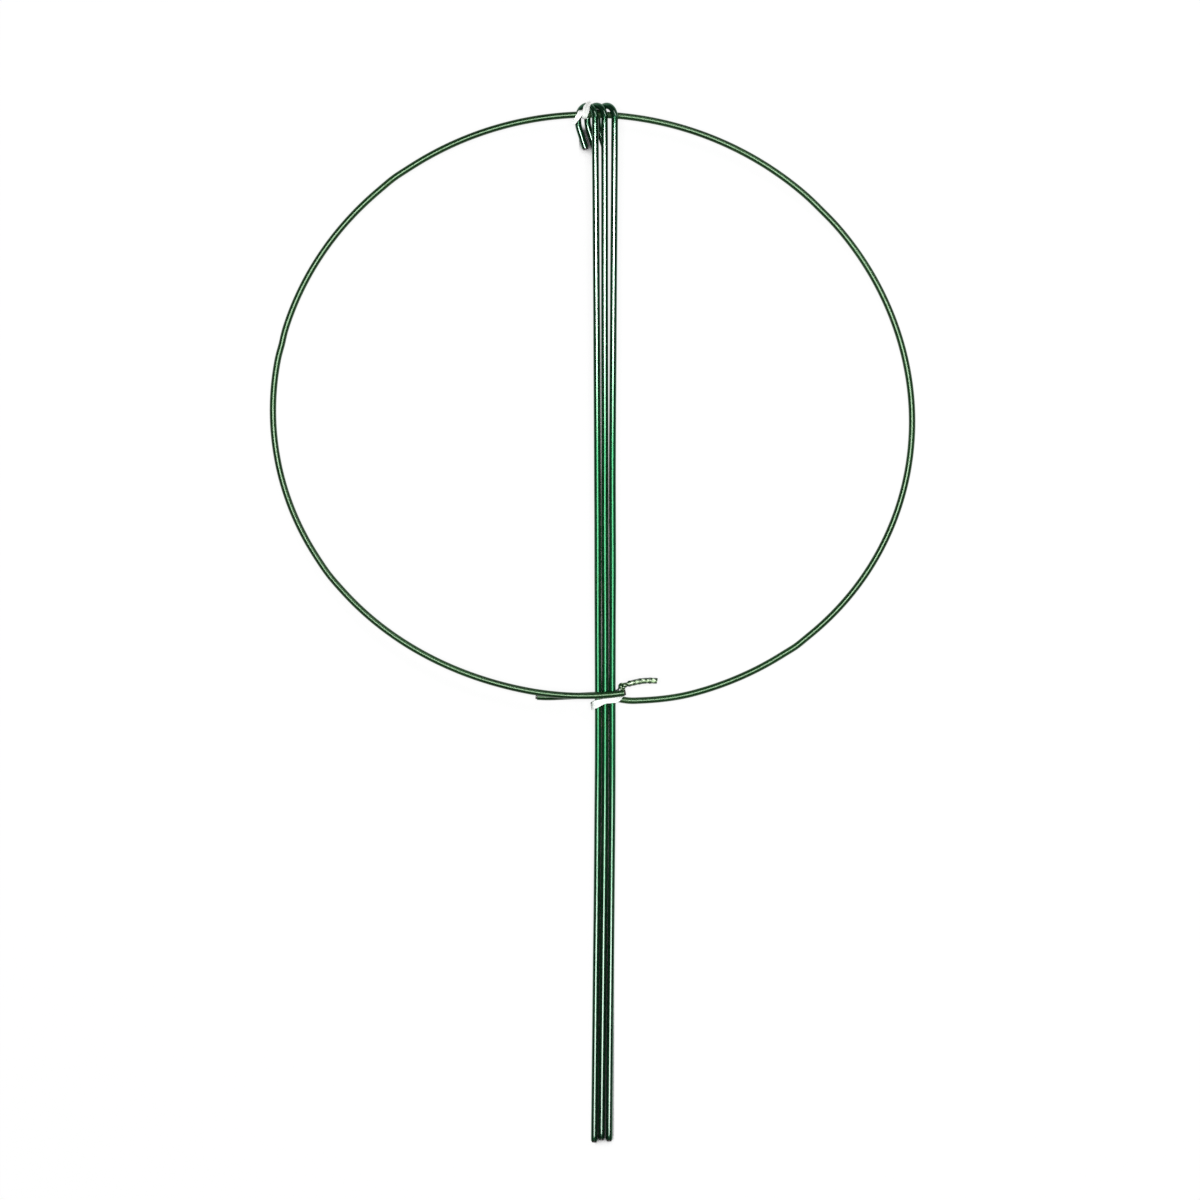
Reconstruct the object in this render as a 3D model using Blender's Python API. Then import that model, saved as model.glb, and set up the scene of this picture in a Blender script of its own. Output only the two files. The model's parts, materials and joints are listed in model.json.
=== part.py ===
"""A wire plant support: an open hoop and three hooked stakes, lying flat and tied together.

The hoop's ends overlap. The stakes hang on the hoop by their hooks, pass between its two ends,
and are held by two twist ties. +Y points along the stakes to the hooks, +Z is up off the floor.
"""

import math

import bmesh
import bpy
from mathutils import Vector

# Wire: a steel core in a plastic coating
WIRE_RADIUS = 0.0019
COATING_WALL = 0.0004
CORE_CLEARANCE = 0.00006
COATING_SIDES = 12
BORE_SIDES = 8
END_CHAMFER = 0.00025
REST_GAP = 0.00035

# Hoop: hand-bent, so it is a little oval, a little egg-shaped, it spirals and its front end curls in
HOOP_RADIUS = 0.17683
HOOP_OVAL = 0.0079
HOOP_OVAL_TURN = math.radians(5.4)
HOOP_EGG = 0.0013
HOOP_EGG_TURN = math.radians(36.8)
HOOP_SPIRAL = 0.0049
HOOP_START = math.radians(259.0)
HOOP_OVERLAP = math.radians(18.0)
HOOP_CURL = 0.0022
HOOP_CURL_SPAN = math.radians(20.0)
HOOP_STEP = math.radians(4.3)
HOOP_LOW_UNTIL = math.radians(370.0)
HOOP_FRONT_FROM = math.radians(630.0)

# Hoop's back end: flatter, stepped in behind the stakes to lie under the front end, then opening again
BACK_FLAT = 0.0023
BACK_FLAT_FROM = math.radians(290.0)
BACK_FLAT_SPAN = math.radians(17.5)
JOGGLE = 0.0048
JOGGLE_AT = math.radians(274.4)
JOGGLE_SPAN = math.radians(8.3)
BACK_OPEN = 0.0045
BACK_OPEN_FROM = math.radians(279.0)
BACK_STEP = math.radians(2.0)

# Stakes: three hooked wires side by side
STAKE_LENGTH = 0.600
STAKE_COUNT = 3
FOOT_STAGGER = (0.0, 0.0014, 0.0007)
BUNDLE_AT_HOOKS = 0.0077
BUNDLE_AT_TIE = 0.0081
BUNDLE_AT_FEET = 0.0059
HOOK_SPREAD = (-0.0013, 0.0, 0.0017)
HOOK_SPREAD_POWER = (2, 1, 1)
FOOT_SPREAD = (0.0, 0.0, 0.0003)
SHANK_SEGMENTS = 11

# Hooks: a half circle turned out of the plane of the hoop, then a leg that leans to the shank
HOOK_RADIUS = 0.0073
HOOK_TURN = math.radians(47.4)
HOOK_SEAT_GAP = 0.0014
HOOK_SEGMENTS = 12
LEG_LENGTH = 0.0181
LEG_LEAN = math.radians(17.5)
LEG_BEND = 0.006
LEG_SEGMENTS = 6

# Twist ties: a flat plastic ribbon with a rib along its middle, round a thin wire
RIBBON_WIDTH = 0.0029
RIBBON_EDGE = 0.00022
RIBBON_RIB = 0.00056
RIB_WIDTH = 0.0008
TIE_WIRE_RADIUS = 0.00017
TIE_WIRE_CLEARANCE = 0.00003
TIE_GAP = 0.0003
TIE_STEP = 0.0009
TIE_SLACK = 0.0015
TAIL_LENGTH = 0.0180
TAIL_HALF_TURN = 0.0063
TAIL_STRAND_OFFSET = 0.0005
TOP_TIE_LEFT_END = 0.0064
TOP_TIE_RIGHT_END = 0.0082

COATING_COLOUR = (0.020, 0.130, 0.055)
CORE_COLOUR = (0.52, 0.53, 0.53)
TIE_COLOUR = (0.72, 0.80, 0.72)
TIE_WIRE_COLOUR = (0.45, 0.46, 0.46)

BORE_RADIUS = WIRE_RADIUS - COATING_WALL
CORE_RADIUS = BORE_RADIUS - CORE_CLEARANCE
RIBBON_HALF = RIBBON_RIB / 2
HOOP_SPAN = 2 * math.pi + HOOP_OVERLAP
HOOP_END = HOOP_START + HOOP_SPAN
UP = Vector((0.0, 0.0, 1.0))


def clear_scene():
    for item in list(bpy.data.objects):
        bpy.data.objects.remove(item, do_unlink=True)


def ease(share):
    """0 to 1 with level ends."""
    share = min(max(share, 0.0), 1.0)
    return share * share * (3 - 2 * share)


def blend(low, high, share):
    return low + (high - low) * share


# Heights off the floor, from the bottom up at the place where the hoop's ends cross the stakes
TIE_UNDER_HEIGHT = TIE_GAP + RIBBON_HALF
BACK_HEIGHT = TIE_UNDER_HEIGHT + RIBBON_HALF + REST_GAP + WIRE_RADIUS
CROSSING_HEIGHT = BACK_HEIGHT + 2 * WIRE_RADIUS + REST_GAP
FRONT_HEIGHT = CROSSING_HEIGHT + 2 * WIRE_RADIUS + REST_GAP


def back_bend(angle):
    """How far inwards the back end is bent."""
    flat = BACK_FLAT * ease((BACK_FLAT_FROM - angle) / BACK_FLAT_SPAN)
    joggle = JOGGLE * ease((JOGGLE_AT - angle) / JOGGLE_SPAN + 0.5)
    past = max(0.0, (BACK_OPEN_FROM - angle) / (BACK_OPEN_FROM - HOOP_START))
    return flat + joggle - BACK_OPEN * past**1.5


def hoop_radius(angle):
    turn = (angle - HOOP_START) / HOOP_SPAN - 0.5
    curl = HOOP_CURL * max(0.0, 1 - (HOOP_END - angle) / HOOP_CURL_SPAN) ** 2
    oval = HOOP_OVAL * math.cos(2 * (angle + HOOP_OVAL_TURN))
    egg = HOOP_EGG * math.cos(3 * (angle + HOOP_EGG_TURN))
    return HOOP_RADIUS + oval + egg - HOOP_SPIRAL * turn - curl - back_bend(angle)


def hoop_flat(angle):
    """The hoop's centreline seen from above, with the hoop's centre at the origin."""
    return Vector((math.cos(angle), math.sin(angle), 0.0)) * hoop_radius(angle)


def hoop_angle_over(across, turn):
    """The angle near turn, a top or a bottom of the hoop, at which the wire passes over this X."""
    angle = turn
    for _ in range(12):
        angle = turn - math.sin(turn) * math.asin(across / hoop_radius(angle))
    return angle


TOP_TURN = 2.5 * math.pi
BACK_TURN = 1.5 * math.pi
FRONT_TURN = 3.5 * math.pi
HOOP_TOP_Y = hoop_flat(hoop_angle_over(BUNDLE_AT_HOOKS, TOP_TURN)).y
BACK_ANGLE = hoop_angle_over(BUNDLE_AT_TIE, BACK_TURN)
FRONT_ANGLE = hoop_angle_over(BUNDLE_AT_TIE, FRONT_TURN)
CROSSING_Y = (hoop_flat(BACK_ANGLE).y + hoop_flat(FRONT_ANGLE).y) / 2
HOOK_CENTRE_Y = HOOP_TOP_Y + 2 * WIRE_RADIUS + HOOK_SEAT_GAP - HOOK_RADIUS
FOOT_Y = HOOK_CENTRE_Y + HOOK_RADIUS + WIRE_RADIUS - STAKE_LENGTH
STAKE_RISE = (CROSSING_HEIGHT - WIRE_RADIUS) / (CROSSING_Y - FOOT_Y)
PITCH = 2 * WIRE_RADIUS + REST_GAP
LEG_SHIFT = 2 * HOOK_RADIUS * math.cos(HOOK_TURN)
LEG_DROP = 2 * HOOK_RADIUS * math.sin(HOOK_TURN)
HOOK_FRONT = Vector((-math.sin(HOOK_TURN), 0.0, math.cos(HOOK_TURN)))


def stake_height(along):
    return WIRE_RADIUS + STAKE_RISE * (along - FOOT_Y)


SHANK_HEIGHT = stake_height(HOOK_CENTRE_Y)
HOOP_TOP_HEIGHT = SHANK_HEIGHT - LEG_DROP / 2


def hoop_height(angle):
    """The wire lies on the floor at both sides, rises to the hooks and ends in front of the stakes."""
    if angle < HOOP_LOW_UNTIL:
        share = ease((angle - BACK_TURN) / (2 * math.pi - BACK_TURN))
        return blend(BACK_HEIGHT, WIRE_RADIUS, share)
    if angle < TOP_TURN:
        share = ease((angle - HOOP_LOW_UNTIL) / (TOP_TURN - HOOP_LOW_UNTIL))
        return blend(WIRE_RADIUS, HOOP_TOP_HEIGHT, share)
    if angle < 3 * math.pi:
        share = ease((angle - TOP_TURN) / (3 * math.pi - TOP_TURN))
        return blend(HOOP_TOP_HEIGHT, WIRE_RADIUS, share)
    share = ease((angle - 3 * math.pi) / (HOOP_FRONT_FROM - 3 * math.pi))
    return blend(WIRE_RADIUS, FRONT_HEIGHT, share)


def hoop_point(angle):
    return hoop_flat(angle) + UP * hoop_height(angle)


def hoop_over(across, turn):
    return hoop_point(hoop_angle_over(across, turn))


def angles_between(first, last, step):
    """From first up to last, but not last itself, in even steps of about this size."""
    count = round((last - first) / step)
    return [blend(first, last, i / count) for i in range(count)]


def hoop_path():
    """Short steps through the joggle, long ones round the rest."""
    angles = angles_between(HOOP_START, BACK_FLAT_FROM, BACK_STEP)
    angles += angles_between(BACK_FLAT_FROM, HOOP_END, HOOP_STEP) + [HOOP_END]
    return [hoop_point(angle) for angle in angles]


def stake_across(index, along):
    """The stake's X at this Y: close together at the tie, apart at the hooks."""
    side = index - (STAKE_COUNT - 1) / 2
    if along > CROSSING_Y:
        share = (along - CROSSING_Y) / (HOOK_CENTRE_Y - CROSSING_Y)
        middle = blend(BUNDLE_AT_TIE, BUNDLE_AT_HOOKS, share)
        return middle + side * PITCH + HOOK_SPREAD[index] * share ** HOOK_SPREAD_POWER[index]
    share = (CROSSING_Y - along) / (CROSSING_Y - FOOT_Y)
    middle = blend(BUNDLE_AT_TIE, BUNDLE_AT_FEET, share * share * (2 - share))
    return middle + side * PITCH + FOOT_SPREAD[index] * share


def stake_point(index, along):
    return Vector((stake_across(index, along), along, stake_height(along)))


def hook_point(index, angle):
    """A point of the hook's half circle: 0 at the shank, pi at the leg."""
    shank = stake_point(index, HOOK_CENTRE_Y)
    swing = HOOK_RADIUS * (1 - math.cos(angle))
    return shank + Vector((
        -swing * math.cos(HOOK_TURN),
        HOOK_RADIUS * math.sin(angle),
        -swing * math.sin(HOOK_TURN),
    ))


def stake_path(index):
    """From the foot, up the shank, round the hook and down the leg."""
    foot = FOOT_Y + FOOT_STAGGER[index]
    points = [
        stake_point(index, blend(foot, HOOK_CENTRE_Y, i / SHANK_SEGMENTS))
        for i in range(SHANK_SEGMENTS)
    ]
    points += [hook_point(index, math.pi * i / HOOK_SEGMENTS) for i in range(HOOK_SEGMENTS + 1)]
    step = LEG_LENGTH / LEG_SEGMENTS
    for i in range(LEG_SEGMENTS):
        lean = LEG_LEAN * min(1.0, (i + 0.5) * step / LEG_BEND)
        points.append(points[-1] + Vector((math.sin(lean), -math.cos(lean), 0.0)) * step)
    return points


def tangents(points):
    ends = [points[0]] + list(points) + [points[-1]]
    return [(ends[i + 2] - ends[i]).normalized() for i in range(len(points))]


def curve_point(start, end, leaving, arriving, t):
    """A point of the cubic that leaves the start and reaches the end with these velocities."""
    return (
        start * (2 * t**3 - 3 * t**2 + 1)
        + leaving * (t**3 - 2 * t**2 + t)
        + end * (3 * t**2 - 2 * t**3)
        + arriving * (t**3 - t**2)
    )


def spline(controls, step):
    """A smooth run through the controls, each a place and a facing, with a point about every step."""
    gaps = [0.0] + [(b[0] - a[0]).length for a, b in zip(controls, controls[1:])] + [0.0]
    padded = [controls[0]] + list(controls) + [controls[-1]]
    run = []
    for i in range(1, len(gaps) - 1):
        before, start, end, after = padded[i - 1:i + 3]
        gap = gaps[i]
        pieces = max(1, round(gap / step))
        for j in range(pieces):
            run.append(tuple(
                curve_point(
                    start[k],
                    end[k],
                    (end[k] - before[k]) * gap / (gap + gaps[i - 1]),
                    (after[k] - start[k]) * gap / (gap + gaps[i + 1]),
                    j / pieces,
                )
                for k in (0, 1)
            ))
    run.append(controls[-1])
    return run


def round_section(radius, sides):
    return [
        (radius * math.cos(2 * math.pi * i / sides), radius * math.sin(2 * math.pi * i / sides))
        for i in range(sides)
    ]


def ribbon_section():
    """A thin flat band with a low rib along the middle of each face."""
    half, edge = RIBBON_WIDTH / 2, RIBBON_EDGE / 2
    rib, height = RIB_WIDTH / 2, RIBBON_RIB / 2
    return [
        (half, -edge), (half, edge), (rib, height), (-rib, height),
        (-half, edge), (-half, -edge), (-rib, -height), (rib, -height),
    ]


def ring(bm, place, tangent, facing, section, scale=1.0):
    up = (facing - tangent * facing.dot(tangent)).normalized()
    across = up.cross(tangent)
    return [bm.verts.new(place + (across * a + up * b) * scale) for a, b in section]


def skin(bm, first, second):
    count = len(first)
    for i in range(count):
        j = (i + 1) % count
        bm.faces.new((first[i], first[j], second[j], second[i]))


def stitch(bm, outside, inside):
    """Closes the flat ring between an outline and a bore that may have fewer corners."""
    i = j = 0
    while i < len(outside) or j < len(inside):
        a, b = outside[i % len(outside)], inside[j % len(inside)]
        if (i + 1) / len(outside) <= (j + 1) / len(inside):
            i += 1
            bm.faces.new((a, outside[i % len(outside)], b))
        else:
            j += 1
            bm.faces.new((a, inside[j % len(inside)], b))


def sweep(places, facings, outer, inner=None, chamfer=0.0):
    """Carries a section along a path. With an inner section the solid is a tube open at both ends."""
    bm = bmesh.new()
    along = tangents(places)
    stations = list(zip(places, along, facings))
    if chamfer:
        width = max(abs(a) for a, _ in outer)
        small = (width - chamfer) / width
        first, last = stations[0], stations[-1]
        shifted = [(first[0] + first[1] * chamfer, first[1], first[2])]
        shifted += stations[1:-1]
        shifted += [(last[0] - last[1] * chamfer, last[1], last[2])]
        rings = [ring(bm, *first, outer, small)]
        rings += [ring(bm, *station, outer) for station in shifted]
        rings += [ring(bm, *last, outer, small)]
    else:
        rings = [ring(bm, *station, outer) for station in stations]
    for first, second in zip(rings, rings[1:]):
        skin(bm, first, second)
    if inner is None:
        bm.faces.new(rings[0])
        bm.faces.new(rings[-1])
    else:
        bores = [ring(bm, *station, inner) for station in stations]
        for first, second in zip(bores, bores[1:]):
            skin(bm, first, second)
        for outside, inside in ((rings[0], bores[0]), (rings[-1], bores[-1])):
            stitch(bm, outside, inside)
    bmesh.ops.triangulate(bm, faces=[face for face in bm.faces if len(face.verts) > 4])
    bmesh.ops.recalc_face_normals(bm, faces=bm.faces)
    return bm


def make_material(name, colour, roughness, metallic):
    material = bpy.data.materials.new(name)
    material.use_nodes = True
    shader = material.node_tree.nodes["Principled BSDF"]
    shader.inputs["Base Color"].default_value = (*colour, 1.0)
    shader.inputs["Roughness"].default_value = roughness
    shader.inputs["Metallic"].default_value = metallic
    return material


def put_under(item, parent, place):
    """Parents an object so that its origin stands at this place."""
    bpy.context.scene.collection.objects.link(item)
    item.parent = parent
    item.location = place
    while parent:
        item.location -= parent.location
        parent = parent.parent


def add_object(name, bm, material, origin, parent):
    bmesh.ops.translate(bm, vec=-origin, verts=bm.verts)
    mesh = bpy.data.meshes.new(name)
    bm.to_mesh(mesh)
    bm.free()
    mesh.shade_smooth()
    mesh.set_sharp_from_angle(angle=math.radians(40))
    mesh.materials.append(material)
    put_under(bpy.data.objects.new(name, mesh), parent, origin)


def add_empty(name, place, parent=None):
    item = bpy.data.objects.new(name, None)
    item.empty_display_size = 0.01
    put_under(item, parent, place)
    return item


def build_wire(name, path, facing, parent):
    """A coated wire: the coating is a tube open at its cut ends, the core fills it."""
    facings = [facing] * len(path)
    outline = round_section(WIRE_RADIUS, COATING_SIDES)
    bore = round_section(BORE_RADIUS, BORE_SIDES)
    coating = sweep(path, facings, outline, bore, END_CHAMFER)
    core = sweep(path, facings, round_section(CORE_RADIUS, BORE_SIDES))
    plastic = make_material(name + "_plastic", COATING_COLOUR, 0.28, 0.0)
    steel = make_material(name + "_steel", CORE_COLOUR, 0.35, 1.0)
    add_object(name + "_coating", coating, plastic, path[0], parent)
    add_object(name + "_core", core, steel, path[0], parent)


def build_tie(name, run, parent):
    """A twist tie: a ribbon open at both ends round its wire."""
    places = [place for place, _ in run]
    facings = [facing for _, facing in run]
    bore = round_section(TIE_WIRE_RADIUS + TIE_WIRE_CLEARANCE, 4)
    ribbon = sweep(places, facings, ribbon_section(), bore)
    wire = sweep(places, facings, round_section(TIE_WIRE_RADIUS, 4))
    plastic = make_material(name + "_plastic", TIE_COLOUR, 0.35, 0.0)
    steel = make_material(name + "_steel", TIE_WIRE_COLOUR, 0.4, 1.0)
    add_object(name + "_ribbon", ribbon, plastic, places[0], parent)
    add_object(name + "_wire", wire, steel, places[0], parent)


def tail_axis():
    """The middle line of the lower tie's twisted tail, above and to the right of the hoop's tip."""
    tip = hoop_point(HOOP_END)
    start = tip + Vector((0.0002, WIRE_RADIUS + 0.0036, -0.0004))
    shape = ((0.0, 0.0, 0.0), (0.0052, 0.0014, 0.0002), (0.0078, 0.0025, -0.0004),
             (0.0117, 0.0024, -0.0014), (0.0173, 0.0011, -0.0026))
    return [start + Vector(offset) * TAIL_LENGTH / 0.0178 for offset in shape]


def twisted_pair(axis, half_turn, offset, step):
    """Two strands wound round one axis, facing each other: first the upper, then the lower."""
    middle = [place for place, _ in spline([(place, UP.copy()) for place in axis], step)]
    strands = ([], [])
    travelled = 0.0
    for i, (place, tangent) in enumerate(zip(middle, tangents(middle))):
        if i:
            travelled += (place - middle[i - 1]).length
        up = (UP - tangent * UP.dot(tangent)).normalized()
        side = tangent.cross(up)
        angle = math.pi * travelled / half_turn
        out = up * math.cos(angle) + side * math.sin(angle)
        strands[0].append((place + out * offset, -out))
        strands[1].append((place - out * offset, out.copy()))
    return strands


def lower_tie_run():
    """Down beside the stakes, behind the hoop's back end, over the stakes and round its tip."""
    upper, lower = twisted_pair(tail_axis(), TAIL_HALF_TURN, TAIL_STRAND_OFFSET, TIE_STEP)
    half = RIBBON_WIDTH / 2
    thick = RIBBON_HALF + TIE_GAP
    beside = WIRE_RADIUS + half + TIE_GAP
    left = stake_across(0, CROSSING_Y) - WIRE_RADIUS - TIE_SLACK - thick
    right = stake_across(STAKE_COUNT - 1, CROSSING_Y) + WIRE_RADIUS + thick
    middle = (left + right) / 2
    over = CROSSING_HEIGHT + WIRE_RADIUS + thick
    under = TIE_UNDER_HEIGHT
    half_way = (over + under) / 2
    high_y = hoop_over(right, BACK_TURN).y + beside + 0.0002
    low_y = hoop_over(middle, BACK_TURN).y - beside - TIE_SLACK
    front_y = hoop_over(right, FRONT_TURN).y - beside + TIE_GAP
    above_y = hoop_over(right, FRONT_TURN).y + WIRE_RADIUS + half
    tip = hoop_point(HOOP_END)
    below_tip = tip.z - WIRE_RADIUS - thick
    out = Vector((1.0, 0.0, 0.0))
    into_tail = [
        (Vector((right + 0.0005, high_y + 0.0006, half_way + 0.0015)), out + UP * 0.4),
        (Vector((right + 0.0009, above_y - 0.0012, half_way + 0.0024)), out + UP * 0.2),
        (Vector((right + 0.0010, above_y + 0.0012, over - 0.0003)), out - UP * 0.3),
        (Vector((right + 0.0026, above_y + 0.0030, over + 0.0010)), out * 0.6 - UP * 0.8),
    ]
    loop = [
        (Vector((right, high_y, half_way - 0.0016)), out),
        (Vector((right - 0.0001, high_y - 0.0001, under + 0.0014)), out - UP * 0.5),
        (Vector((right - 0.0016, high_y - 0.0007, under + 0.0001)), -UP),
        (Vector((middle, (high_y + low_y) / 2, under + 0.0001)), -UP),
        (Vector((left + 0.0016, low_y + 0.0007, under + 0.0001)), -UP),
        (Vector((left + 0.0001, low_y + 0.0001, under + 0.0014)), -out - UP * 0.5),
        (Vector((left, low_y + 0.0001, half_way - 0.0004)), -out),
        (Vector((left + 0.0001, low_y + 0.0014, over - 0.0014)), -out + UP * 0.5),
        (Vector((left + 0.0016, low_y + 0.0023, over)), UP.copy()),
        (Vector((middle, (low_y + front_y) / 2 + 0.0005, over)), UP.copy()),
        (Vector((right + 0.0002, front_y, over - 0.0001)), UP.copy()),
    ]
    round_tip = [
        (Vector((tip.x - 0.0022, tip.y - 0.0019, below_tip + 0.0001)), UP.copy()),
        (Vector((tip.x - 0.0009, tip.y + 0.0004, below_tip - 0.0002)), UP.copy()),
        (Vector((tip.x - 0.0007, tip.y + 0.0031, below_tip + 0.0006)), UP.copy()),
    ]
    lead = [upper[0]] + list(reversed(into_tail)) + loop + round_tip + [lower[0]]
    return list(reversed(upper))[:-1] + spline(lead, TIE_STEP) + lower[1:]


def top_tie_run():
    """Once round the hoop inside the first hook, with both flat ends free in front."""
    thick = RIBBON_HALF + TIE_GAP
    shank = stake_point(0, HOOK_CENTRE_Y)
    middle = Vector((shank.x - LEG_SHIFT / 2, 0.0, HOOP_TOP_HEIGHT))
    clear = HOOK_FRONT * (WIRE_RADIUS + thick + 0.0001)

    def around(across, degrees):
        """A place round the hoop's wire: 0 in front, 90 on its upper side."""
        angle = math.radians(degrees)
        facing = Vector((0.0, math.sin(angle), math.cos(angle)))
        return (hoop_over(middle.x + across, TOP_TURN) + facing * (WIRE_RADIUS + thick), facing)

    def before_hook(across, along):
        """A place just in front of the hook's plane."""
        on_hook = Vector((middle.x + across, along, middle.z + across * math.tan(HOOK_TURN)))
        return (on_hook + clear, HOOK_FRONT.copy())

    start, facing = around(-0.0041, -5)
    drop = Vector((-0.546, -0.837, -0.02)).normalized() * TOP_TIE_LEFT_END
    controls = [
        (start + drop, UP + Vector((-0.1, 0.0, 0.0))),
        (start + drop * 0.55, UP.copy()),
        (start, facing),
    ]
    turns = ((-0.0034, 40), (-0.0024, 75), (-0.0015, 110), (-0.0011, 150), (-0.0011, 190),
             (-0.0011, 235), (-0.0011, 280), (-0.0010, 325), (-0.0007, 362))
    controls += [around(*turn) for turn in turns]
    controls.append(before_hook(0.0006 - clear.x, HOOP_TOP_Y + 0.0045))
    controls.append(before_hook(0.0020 - clear.x, HOOP_TOP_Y + TOP_TIE_RIGHT_END))
    return spline(controls, TIE_STEP)


def put_origin_under(root):
    """Moves the whole so that the origin is at the middle of its floor, below everything."""
    bpy.context.view_layer.update()
    corners = [
        item.matrix_world @ vertex.co
        for item in bpy.data.objects
        if item.type == "MESH"
        for vertex in item.data.vertices
    ]
    low = Vector([min(corner[i] for corner in corners) for i in range(3)])
    high = Vector([max(corner[i] for corner in corners) for i in range(3)])
    root.location = (-(low.x + high.x) / 2, -(low.y + high.y) / 2, -low.z)


def main():
    clear_scene()
    root = add_empty("plant_support", Vector())
    build_wire("hoop", hoop_path(), UP, root)
    # The hooks nest, so a stake that is drawn out takes the ones on its right with it
    carrier = root
    for index in range(STAKE_COUNT):
        name = f"stake_{index + 1}"
        path = stake_path(index)
        carrier = add_empty(name + "_slide", path[0], carrier)
        build_wire(name, path, HOOK_FRONT, carrier)
    build_tie("top_tie", top_tie_run(), root)
    build_tie("lower_tie", lower_tie_run(), root)
    put_origin_under(root)


main()
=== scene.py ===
# Plant support: an open hoop, three hooked stakes and two twist ties, seen from straight above
import json
import math

import bmesh
import bpy
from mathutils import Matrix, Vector, noise


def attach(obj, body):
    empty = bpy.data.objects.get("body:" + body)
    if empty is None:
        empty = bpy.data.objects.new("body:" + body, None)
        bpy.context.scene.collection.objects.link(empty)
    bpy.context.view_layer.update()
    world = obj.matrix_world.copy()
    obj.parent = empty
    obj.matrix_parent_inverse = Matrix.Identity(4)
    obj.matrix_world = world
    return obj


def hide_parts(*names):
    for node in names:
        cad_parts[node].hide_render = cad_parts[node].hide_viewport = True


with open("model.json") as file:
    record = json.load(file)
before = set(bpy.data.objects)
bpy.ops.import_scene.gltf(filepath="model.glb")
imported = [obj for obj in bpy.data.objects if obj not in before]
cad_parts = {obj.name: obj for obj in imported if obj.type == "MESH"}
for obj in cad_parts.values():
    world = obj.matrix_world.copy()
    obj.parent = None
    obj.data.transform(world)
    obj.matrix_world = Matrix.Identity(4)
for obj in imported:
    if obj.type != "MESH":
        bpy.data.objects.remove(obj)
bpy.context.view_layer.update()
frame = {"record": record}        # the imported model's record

upward = Vector((0, 0, 1))

# sizes, in metres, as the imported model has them

wire = {
    "radius": 0.0019,
    "boreRadius": 0.0015,
    "coreRadius": 0.00144,
    "sides": 28, "coreSides": 20,
    "innerSkip": 4,            # the bore and the core keep every fourth ring
    "restGap": 0.00035,
    "unevenness": 0.012,       # share of the radius
    "unevenWaves": 40,         # in a metre
    "mostSwell": 0.2,          # share of the unevenness that may stand proud
    "lip": 0.00022,            # rounding of the plastic at a cut end
    "rag": 0.00004,            # how ragged the knife leaves it
    "shrinkBack": 0.0009,      # how far the plastic stands back from the steel
    "coreRim": 0.00012, "coreSkew": 0.00010,
    "snug": 0.00010,           # thicker plastic along the shanks, where the stakes all but touch
    "snugEase": 0.03,
}

hoop = {
    "radius": 0.17683,
    "oval": 0.0079, "ovalTurn": math.radians(5.4),
    "egg": 0.0013, "eggTurn": math.radians(36.8),
    "spiral": 0.0049,
    "start": math.radians(259), "span": math.radians(378),
    "curl": 0.0022, "curlSpan": math.radians(20),
    "lowUntil": math.radians(370), "frontFrom": math.radians(630),
    "steps": 620,
    # the back end: flatter, stepped in behind the stakes, then opening again
    "backFlat": 0.0023, "backFlatFrom": math.radians(290), "backFlatSpan": math.radians(17.5),
    "joggle": 0.0048, "joggleAt": math.radians(274.4), "joggleSpan": math.radians(8.3),
    "backOpen": 0.0045, "backOpenFrom": math.radians(279),
    # where the bender left small kinks, and the back end's last bend outwards:
    # turn in degrees, how far out in metres, half width in degrees
    "kinks": (
        (490.4, 0.00030, 2.2), (527.9, -0.00034, 1.6), (311.0, 0.00032, 1.8),
        (401, -0.0002, 2.6), (572, 0.00022, 2.4), (260.5, 0.0007, 4.0),
    ),
}

stake = {
    "count": 3,
    "length": 0.600,
    "stagger": (0.0, 0.0014, 0.0007),
    "acrossAtHooks": 0.0077, "acrossAtTie": 0.0081, "acrossAtFeet": 0.0059,
    "hookSpread": (-0.0013, 0.0, 0.0017), "spreadPower": (2, 1, 1),
    "footSpread": (0.0, 0.0, 0.0003),
    "shankSteps": 150,
    "sway": 0.00016, "swayWaves": 9,       # a drawn wire is never quite straight
    "bow": (0.0, 0.0, -0.00042), "bowFrom": 0.24, "bowTo": 0.60,
    "snugFrom": 0.30, "snugTo": 0.60,
}

hook = {
    "radius": 0.0073, "turn": math.radians(47.4), "seatGap": 0.0014, "steps": 44,
    "leg": 0.0181, "lean": math.radians(17.5), "bend": 0.006, "legSteps": 26,
}

tie = {
    "width": 0.0029, "edge": 0.00022, "rib": 0.00056, "ribWidth": 0.0008,
    "wireRadius": 0.00017, "wireClearance": 0.00003, "wireSides": 10, "wireRim": 0.00006,
    "gap": 0.0003, "step": 0.00022, "slack": 0.0015,
    "tail": 0.0194, "halfTurn": 0.0063, "strandOffset": 0.0005,
    "topLeftEnd": 0.0064, "topRightEnd": 0.0066,
    # the band is wider where it folds over itself: past the lower tie's upper left corner,
    # and before the top tie's right end
    "foldSwell": 0.5, "foldSpan": 0.0034, "foldPast": 0.0022, "foldBefore": 0.0045,
    "pinch": 0.28, "pinchLength": 0.006,
    "rumple": 0.00005, "rumpleWaves": 420,
    "greenLead": (0.0140, 0.0055),         # how far each end stays green beside the tail
    # the twisted tail's two ribbons stand apart and cup round each other into a rope
    "tailGrow": 0.00100, "tailCup": 0.00135, "tailSwell": 0.20, "tailEase": 0.003,
}


def ease(share):
    share = min(max(share, 0), 1)
    return share * share * (3 - 2 * share)


def between(low, high, share):
    return low + (high - low) * share


# heights off the floor where the hoop's ends cross the stakes

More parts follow.
